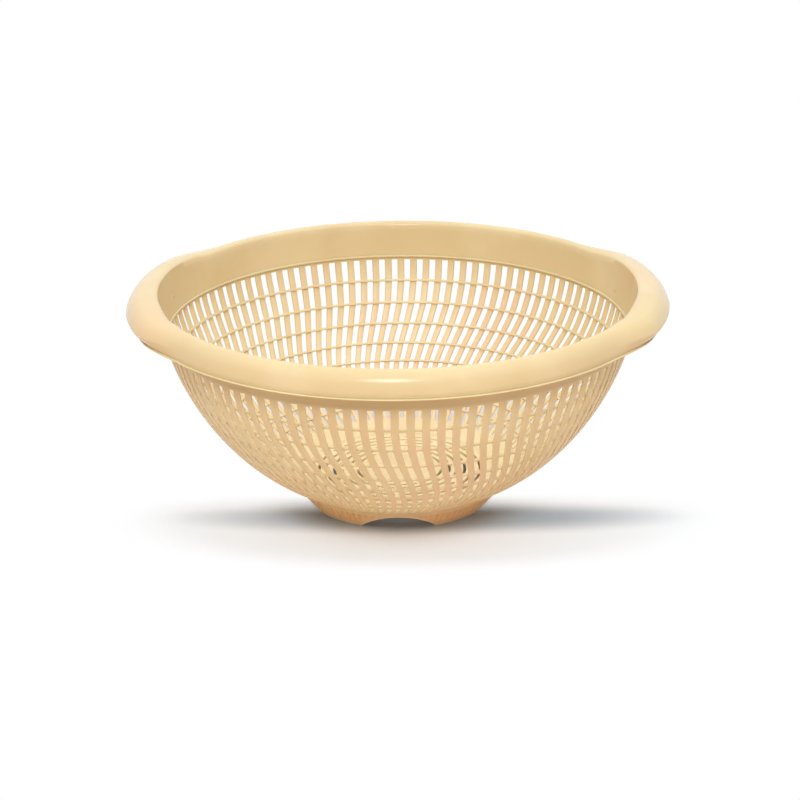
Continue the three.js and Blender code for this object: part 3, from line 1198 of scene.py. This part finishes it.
@dataclass
class SlottedFloor:
    """The slotted floor, and the ring that carries it between the wall and the foot ring.

    Attributes:
        form: The wall's outer face.
        pattern: The rows and ribs.
        radius: Radius of the flat floor.
        underside: Height of its lower face.
        topside: Height of its upper face.
        slot_rings: Rings of slots.
        slots_per_ring: Slots in each ring.
        edge_width: Plain edge outside the slots.
        slot_width: Width of a slot.
        strip_width: Width of the strip between two rings of slots.
        bridge_width: Width of the bridge between two slots of a ring.
        slot_steps: Steps along a slot and across it.
        cutter_share: Height of a slot's cutter, of the floor's thickness.
        edge_round: Rounding of the edges.
        step: How far the ring stands above and below the flat floor.
        ring_lap: How far the ring's foot draws in to its lower face.
        rib_bite: How deep the ring's slope ends inside the ribs.
        crest: The slope's crest, inwards and upwards of where it meets the ribs.
        slope: Points of the slope, outwards of the flat floor and above it.
        gate_radius: Radius of the gate mark.
        gate_height: How far it stands below the floor.
        gate_sides: Steps round it.
        steps: Steps round the axis.
        finish: The floor's plastic.
        nodes: The solids that the floor stands for.
    """

    form: WallForm
    pattern: SlotPattern
    radius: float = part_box("floor_grille")[1].x
    underside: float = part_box("floor_grille")[0].z
    topside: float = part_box("floor_grille")[1].z
    slot_rings: int = 6
    slots_per_ring: int = 6
    edge_width: float = 5.2 * MM
    slot_width: float = 1.6 * MM
    strip_width: float = 2.6 * MM
    bridge_width: float = 4 * MM
    slot_steps: tuple[int, int] = (16, 6)
    cutter_share: float = 4
    edge_round: float = 0.25 * MM
    step: float = 0.2 * MM
    ring_lap: float = 0.9 * MM
    rib_bite: float = 1.1 * MM
    crest: Span = (0.5 * MM, 0.2 * MM)
    slope: tuple[Span, ...] = ((5.5 * MM, 0.9 * MM), (4 * MM, 0.35 * MM), (2.5 * MM, 0.2 * MM))
    gate_radius: float = 1.6 * MM
    gate_height: float = 0.35 * MM
    gate_sides: int = 32
    steps: int = 204
    finish: MouldedPlastic = MouldedPlastic("floor_plastic")
    nodes: tuple[str, ...] = ("base_rim", "floor_grille")

    def _cutters(self, ring: int) -> bpy.types.Object:
        """Bends a flat bar with round ends, and copies it into the cutters of one ring of slots.

        Args:
            ring: Number of the ring, from 0 outside.

        Returns:
            The cutters of the ring.
        """
        half_width = self.slot_width / 2
        ring_pitch = self.slot_width + self.strip_width
        middle = self.radius - self.edge_width - half_width - ring * ring_pitch
        half_turn = math.pi / self.slots_per_ring
        straight = half_turn - (self.bridge_width / 2 + half_width) / middle
        stagger = ring % 2 * half_turn
        along, across = self.slot_steps
        bpy.ops.mesh.primitive_grid_add(
            x_subdivisions=along, y_subdivisions=across, size=2,
            location=(0, 0, (self.underside + self.topside) / 2),
        )
        bar = named("floor_slots")

        def bend(points: np.ndarray) -> np.ndarray:
            """Bends the flat grid round the axis and rounds its ends.

            Args:
                points: Places of the vertices, one row each.

            Returns:
                Their new places.
            """
            end = np.sqrt(np.maximum(1 - points[:, 1] ** 2, 0)) * half_width / middle
            radius = middle + points[:, 1] * half_width
            azimuth = stagger + points[:, 0] * (straight + end)
            return polar(radius, azimuth, points[:, 2])

        reshape(bar, bend)
        tall = self.cutter_share * (self.topside - self.underside)
        finish_with(bar, "SOLIDIFY", thickness=tall, offset=0)
        return ring_of(bar, self.slots_per_ring)

    def _disc(self) -> bpy.types.Object:
        """Makes the flat floor and cuts its slots.

        Returns:
            The floor.
        """
        tall = self.topside - self.underside
        bpy.ops.mesh.primitive_cylinder_add(
            vertices=self.steps, radius=self.radius + self.edge_round, depth=tall,
            location=(0, 0, self.underside + tall / 2),
        )
        disc = named("floor_disc")
        cutters = joined("floor_slots", *(self._cutters(ring) for ring in range(self.slot_rings)))
        finish_with(disc, "BOOLEAN", object=cutters, operation="DIFFERENCE", solver="EXACT")
        bpy.data.objects.remove(cutters)
        round_edges(disc, self.edge_round)
        return disc

    def _ring(self) -> bpy.types.Object:
        """Makes the ring round the floor, with the slope that climbs to the ribs.

        Returns:
            The ring.
        """
        end = self.pattern.row_end(self.pattern.row_count)
        low, middle, high = (
            self.form.point(share, depth)
            for share, depth in (
                (1, self.ring_lap), ((end + 1) / 2, self.rib_bite), (end, self.rib_bite)
            )
        )
        slope = [(self.radius + out, self.topside + up) for out, up in self.slope]
        points = [
            (self.radius, self.underside - self.step),
            (low[0] - self.ring_lap, self.underside - self.step),
            low,
            middle,
            high,
            (high[0] - self.crest[0], high[1] + self.crest[1]),
            *slope,
            (self.radius, self.topside + self.step),
        ]
        outline = [(float(radius), float(height)) for radius, height in points]
        ring = turned("floor_ring", outline, self.steps, closed=True)
        round_edges(ring, self.edge_round)
        return ring

    def _gate(self) -> bpy.types.Object:
        """Makes the small round mark where the plastic entered the mould, under the floor.

        Returns:
            The mark.
        """
        bpy.ops.mesh.primitive_cylinder_add(
            vertices=self.gate_sides, radius=self.gate_radius, depth=2 * self.gate_height,
            location=(0, 0, self.underside),
        )
        gate = named("gate_mark")
        round_edges(gate, self.gate_height / 2)
        return gate

    def build(self) -> bpy.types.Object:
        """Makes the floor, its ring and the gate mark as one piece."""
        base = joined("slotted_floor", self._disc(), self._ring(), self._gate())
        return self.finish.dress(base)


@dataclass
class FootRing:
    """The ring that the bowl stands on, with five arches and faint upright flutes.

    Attributes:
        form: The wall that the ring carries.
        pattern: The rows and ribs, whose count the flutes share.
        overhang: How far the wall stands out over the ring.
        taper: How much narrower the ring is at the table.
        thickness: Thickness of the ring.
        arch_count: Arches in the whole ring.
        arch_half_angle: Half of an arch's angle in degrees.
        arch_height: Height of an arch's middle.
        flute_depth: Depth of a flute.
        flute_sharpness: Higher is narrower.
        flute_fade: Shares of the way up between which the flutes come in.
        flute_steps: Steps round the axis for each flute.
        rows: Steps up the ring.
        row_gather: Above 1 gathers the rows towards the lower edge.
        edge_round: Rounding of the edges.
        highlight_reach: Heights above the lower edge between which its painted highlight fades.
        finish: The ring's plastic, warmer and brighter than the body's, which paints the warm
            bounce light that the ring gets in shade.
        nodes: The solid that the ring stands for.
    """

    form: WallForm
    pattern: SlotPattern
    overhang: float = 0.7 * MM
    taper: float = 6.6 * MM
    thickness: float = 2.2 * MM
    arch_count: int = 5
    arch_half_angle: float = 21.85
    arch_height: float = 8.4 * MM
    flute_depth: float = 1.4 * MM
    flute_sharpness: int = 3
    flute_fade: Span = (0.2, 0.6)
    flute_steps: int = 8
    rows: int = 8
    row_gather: float = 1.5
    edge_round: float = 0.55 * MM
    highlight_reach: Span = (0.4 * MM, 1.1 * MM)
    # Warmer, brighter tone than the body's: painted warm bounce light on the foot in the bowl's
    # shade, on the same cream plastic.
    finish: MouldedPlastic = MouldedPlastic(
        "foot_plastic",
        tone=(0.92, 0.65, 0.35),
        pale_tone=(0.94, 0.69, 0.39),
        warm_tone=(0.90, 0.61, 0.33),
        roughness=0.26,
        wear_and_edge_highlight=WearAndEdgeHighlight.STOOD_ON,
    )
    nodes: tuple[str, ...] = ("foot_ring",)

    def _bottom(self, azimuth: np.ndarray) -> np.ndarray:
        """Raises the ring's lower edge in its arches.

        Args:
            azimuth: Angles round the axis in radians.

        Returns:
            Height of the edge at each angle.
        """
        arch_pitch = FULL_TURN / self.arch_count
        from_arch = np.abs((azimuth + math.pi / 2 + arch_pitch / 2) % arch_pitch - arch_pitch / 2)
        share = from_arch / math.radians(self.arch_half_angle)
        return self.arch_height * np.maximum(1 - share**2, 0)

    def _paint_edge_highlight(self, ring: bpy.types.Object) -> None:
        """Marks the lower edge for a painted highlight: a paler colour that stands for light caught
        on the rounded edge where the ring meets the table.

        Args:
            ring: The foot ring.
        """
        points = points_of(ring)
        above = points[:, 2] - self._bottom(azimuth_of(points))
        marks = ring.data.attributes.new(EDGE_HIGHLIGHT_MARK, "FLOAT", "POINT")
        marks.data.foreach_set("value", 1 - smoothstep(above, *self.highlight_reach))

    def _shape(self, points: np.ndarray) -> np.ndarray:
        """Tapers the ring, cuts its arches and presses its flutes.

        Args:
            points: Places of the vertices, one row each.

        Returns:
            Their new places.
        """
        azimuth = azimuth_of(points)
        up = (points[:, 2] / self.form.seat_height) ** self.row_gather
        bottom = self._bottom(azimuth)
        height = bottom + (self.form.seat_height - bottom) * up
        top_radius = float(self.form.radius(np.array(self.form.seat_height))) - self.overhang
        radius = top_radius - self.taper * (1 - height / self.form.seat_height)
        wave = (1 - np.cos(self.pattern.rib_count * azimuth)) / 2
        flute = wave**self.flute_sharpness * smoothstep(up, *self.flute_fade)
        return polar(radius - self.flute_depth * flute, azimuth, height)

    def _line(self, points: np.ndarray) -> np.ndarray:
        """Sets the inner face level with the outer one, so that the feet stand flat.

        Args:
            points: Places of the vertices, one row each.

        Returns:
            Their new places.
        """
        outer, _ = np.split(points, 2)
        x, y, z = outer.T
        share = 1 - self.thickness / np.hypot(x, y)
        return np.vstack((outer, np.column_stack((x * share, y * share, z))))

    def build(self) -> bpy.types.Object:
        """Raises the ring from a circle row by row, shapes it and gives it its wall.

        Returns:
            The dressed foot ring.
        """
        steps = self.pattern.rib_count * self.flute_steps
        bpy.ops.mesh.primitive_circle_add(vertices=steps, radius=self.form.top_radius / 2)
        ring = named("foot_ring_dressed")
        rise = self.form.seat_height / self.rows
        with editing(ring, "SELECT"):
            for _ in range(self.rows):
                bpy.ops.mesh.extrude_region_move(TRANSFORM_OT_translate={"value": (0, 0, rise)})
        weld(ring)
        face = ring.data.polygons[0]
        flip_if(ring, face.normal.dot(face.center) < 0)
        reshape(ring, self._shape)
        finish_with(ring, "SOLIDIFY", thickness=self.thickness, offset=-1)
        reshape(ring, self._line)
        round_edges(ring, self.edge_round, segments=3)
        self._paint_edge_highlight(ring)
        return self.finish.dress(ring)


# Studio


@dataclass(frozen=True)
class Softbox:
    """A round soft lamp that is aimed at the strainer.

    Attributes:
        name: Name of the lamp.
        size: Diameter in metres.
        power: Power in watts.
        elevation: Angle above the table in degrees.
        azimuth: Angle round from the camera's side in degrees.
        distance: Distance from the strainer in metres.
    """

    name: str
    size: float
    power: float
    elevation: float
    azimuth: float
    distance: float = 1.6

    def hang(self) -> None:
        """Hangs the lamp in its place."""
        tilt = math.radians(self.elevation)
        turn = Matrix.Rotation(math.radians(self.azimuth), 3, "Z")
        place = turn @ Vector((0, -math.cos(tilt), math.sin(tilt))) * self.distance
        lamp = bpy.data.lights.new(self.name, "AREA")
        lamp.shape = "DISK"
        lamp.size = self.size
        lamp.energy = self.power
        holder = bpy.data.objects.new(self.name, lamp)
        holder.location = place
        holder.rotation_euler = (-place).to_track_quat("-Z", "Y").to_euler()
        bpy.context.scene.collection.objects.link(holder)


@dataclass(frozen=True)
class FloorPatch:
    """An ellipse on the floor, with a soft edge.

    Attributes:
        half: Half of its length along X and Y.
        fade: Shares of the way from its middle to its edge between which it fades.
        middle: Its middle, along X and Y.
    """

    half: Span
    fade: Span
    middle: Span = (0, 0)

    def outside(self, sheet: ShaderSheet) -> Signal:
        """Eases from 0 in the patch to 1 outside it.

        Args:
            sheet: The floor's sheet.

        Returns:
            The signal.
        """
        place = sheet.node("ShaderNodeTexCoord", output="Object")
        inputs = {"Vector": place, "Location": (*self.middle, 0), "Scale": (*self.half, 1)}
        scaled = sheet.node("ShaderNodeMapping", {"vector_type": "TEXTURE"}, inputs)
        reach = sheet.node("ShaderNodeVectorMath", {"operation": "LENGTH"}, {0: scaled}, "Value")
        return reach.ramp(*self.fade)


@dataclass
class Studio:
    """A plain pale floor, soft white light and the camera at the photograph's angle.

    Attributes:
        camera_distance: From the focus to the camera.
        camera_elevation: Angle of the camera above the table in degrees.
        camera_azimuth: Angle of the camera round from the front in degrees.
        camera_roll: Turn of the camera about its line of sight in degrees.
        focus: Place that the camera is aimed at.
        lens: Focal length in millimetres.
        sensor: Width of the camera's sensor in millimetres.
        floor_size: Side of the floor.
        floor_drop: How far the floor lies under the feet.
        near_bounce: Colour that the floor near the strainer sends up to it.
        far_bounce: Colour that the floor beyond sends.
        near: The near part of the floor.
        painted_shadow_tone: Darker colour painted on the floor in the shadow's core, a painted
            shadow.
        painted_shadow_core: Where that painted shadow lies, about the feet.
        floor_tone: Colour of the floor in the rest of the shadow.
        shadow: The part of the floor where the shadow is seen.
        shadow_rear: Places along Y between which the shadow gives way to white at the back.
        under_foot: The floor inside the foot ring, where the shadow is always seen and is painted
            dark too.
        behind: The floor behind the bowl, seen through its slots, where it is seen too.
        horizon_strength: Strength of the sky at the horizon.
        zenith_strength: Strength of the sky overhead.
        sky_rise: Heights of a direction between which the sky grows stronger.
        lamps: The soft lamps.
    """

    camera_distance: float = 966.34 * MM
    camera_elevation: float = 21.31
    camera_azimuth: float = 0.95
    camera_roll: float = -0.64
    focus: tuple[float, float, float] = (0.58 * MM, 0.01 * MM, 51.36 * MM)
    lens: float = 80.91
    sensor: float = 36
    floor_size: float = 12
    floor_drop: float = 0.02 * MM
    near_bounce: Tone = (0.98, 0.79, 0.65)
    far_bounce: Tone = (0.78, 0.61, 0.48)
    near: FloorPatch = FloorPatch(half=(120 * MM, 120 * MM), fade=(0.7, 1.3))
    # Painted shadow: a darker floor colour in the core of the shadow about the feet.
    painted_shadow_tone: Tone = (0.40, 0.46, 0.52)
    painted_shadow_core: FloorPatch = FloorPatch(
        half=(155 * MM, 25 * MM), fade=(0.35, 1), middle=(17 * MM, -38 * MM)
    )
    floor_tone: Tone = (0.86, 0.90, 0.94)
    shadow: FloorPatch = FloorPatch(
        half=(170 * MM, 62 * MM), fade=(0.7, 1), middle=(12 * MM, -42 * MM)
    )
    shadow_rear: Span = (-36 * MM, -8 * MM)
    under_foot: FloorPatch = FloorPatch(half=(50 * MM, 50 * MM), fade=(0.95, 1.05))
    behind: FloorPatch = FloorPatch(
        half=(112 * MM, 78 * MM), fade=(0.55, 1.15), middle=(0, 115 * MM)
    )
    horizon_strength: float = 0.1
    zenith_strength: float = 1.5
    sky_rise: Span = (0.2, 0.95)
    lamps: tuple[Softbox, ...] = (
        Softbox("front_softbox", size=0.46, power=8.2, elevation=43, azimuth=-3),
    )

    def _seen(self, sheet: ShaderSheet) -> Signal:
        """Tells where the camera sees a surface, by itself or through gloss or glass.

        Args:
            sheet: The floor's sheet or the sky's.

        Returns:
            1 where it is seen and 0 elsewhere.
        """
        rays = ("Is Camera Ray", "Is Glossy Ray", "Is Transmission Ray")
        camera, glossy, transmission = (
            sheet.node("ShaderNodeLightPath", output=ray) for ray in rays
        )
        either = sheet.node("ShaderNodeMath", {"operation": "MAXIMUM"}, {0: camera, 1: glossy})
        return sheet.node("ShaderNodeMath", {"operation": "MAXIMUM"}, {0: either, 1: transmission})

    def _floor(self) -> None:
        """Lays the floor, which reads as white, keeps the strainer's shadow and has a painted
        shadow about the feet.
        """
        bpy.ops.mesh.primitive_plane_add(size=self.floor_size, location=(0, 0, -self.floor_drop))
        floor = named("studio_floor")
        sheet = ShaderSheet("studio_floor")
        seen = self._seen(sheet)
        # Painted shadow: the floor's colour is darker in the shadow's core and inside the foot
        # ring.
        off_foot = self.under_foot.outside(sheet)
        off_core = self.painted_shadow_core.outside(sheet) * off_foot
        shade = sheet.mix(off_core, (*self.painted_shadow_tone, 1), (*self.floor_tone, 1))
        far = self.near.outside(sheet)
        bounce = sheet.mix(far, (*self.near_bounce, 1), (*self.far_bounce, 1))
        tone = sheet.mix(seen, bounce, shade)
        matt = sheet.node("ShaderNodeBsdfDiffuse", inputs={"Color": tone})
        white = sheet.node("ShaderNodeEmission", inputs={"Strength": 1})
        place = sheet.node("ShaderNodeTexCoord", output="Object")
        back = sheet.node("ShaderNodeSeparateXYZ", inputs={"Vector": place}, output="Y")
        rear = back.ramp(*self.shadow_rear)
        off_shadow = self.shadow.outside(sheet)
        plain = off_shadow + (1 - off_shadow) * rear
        fade = plain * (off_foot * self.behind.outside(sheet) * seen)
        above = sheet.node("ShaderNodeMixShader", inputs={0: fade, 1: matt, 2: white})
        below = sheet.node("ShaderNodeNewGeometry", output="Backfacing")
        clear = sheet.node("ShaderNodeBsdfTransparent")
        surface = sheet.node("ShaderNodeMixShader", inputs={0: below, 1: above, 2: clear})
        sheet.node("ShaderNodeOutputMaterial", inputs={"Surface": surface})
        floor.data.materials.append(sheet.material)

    def _sky(self) -> None:
        """Surrounds the strainer with light, stronger overhead, that is seen as plain white."""
        world = bpy.data.worlds.new("studio_sky")
        bpy.context.scene.world = world
        sheet = ShaderSheet("studio_sky", world)
        direction = sheet.node("ShaderNodeTexCoord", output="Generated")
        upward = sheet.node("ShaderNodeSeparateXYZ", inputs={"Vector": direction}, output="Z")
        rise = upward.ramp(*self.sky_rise) * (self.zenith_strength - self.horizon_strength)
        light = rise + self.horizon_strength
        strength = light + (1 - light) * self._seen(sheet)
        inputs = {"Color": WHITE, "Strength": strength}
        background = sheet.node("ShaderNodeBackground", inputs=inputs)
        sheet.node("ShaderNodeOutputWorld", inputs={"Surface": background})

    def _camera(self) -> None:
        """Sets the camera where the photograph was taken from."""
        elevation, azimuth = math.radians(self.camera_elevation), math.radians(self.camera_azimuth)
        focus = Vector(self.focus)
        back = Vector((0, -math.cos(elevation), math.sin(elevation)))
        place = focus + Matrix.Rotation(azimuth, 3, "Z") @ back * self.camera_distance
        data = bpy.data.cameras.new("photo_camera")
        data.lens = self.lens
        data.sensor_width = self.sensor
        camera = bpy.data.objects.new("photo_camera", data)
        aim = (focus - place).to_track_quat("-Z", "Y").to_matrix().to_4x4()
        roll = Matrix.Rotation(math.radians(self.camera_roll), 4, "Z")
        camera.matrix_world = Matrix.Translation(place) @ aim @ roll
        bpy.context.scene.collection.objects.link(camera)
        bpy.context.scene.camera = camera

    def build(self) -> None:
        """Sets the floor, the light and the camera."""
        self._floor()
        self._sky()
        for lamp in self.lamps:
            lamp.hang()
        self._camera()
        bpy.context.scene.view_settings.view_transform = "Standard"


def write_size() -> None:
    """Defines a helper that turns a box's corners into lists of numbers; it writes nothing.
    """
    def plain(box: Sequence[Sequence[float]]) -> list[list[float]]:
        """Turns a box's corners into lists of numbers."""
        return [[float(value) for value in corner] for corner in box]


def main() -> None:
    """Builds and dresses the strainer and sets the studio."""
    logging.basicConfig(level=logging.INFO, format="%(name)s: %(message)s")
    form, pattern = WallForm(), SlotPattern()
    members = (
        RolledRim(form),
        SlottedWall(form, pattern),
        Hoops(form, pattern),
        SlottedFloor(form, pattern),
        FootRing(form, pattern),
    )
    for member in members:
        piece = member.build()
        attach(piece, "root")
        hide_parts(*member.nodes)
        LOG.info("%s: %d faces", piece.name, len(piece.data.polygons))
    Studio().build()
    write_size()


if __name__ == "__main__":
    main()
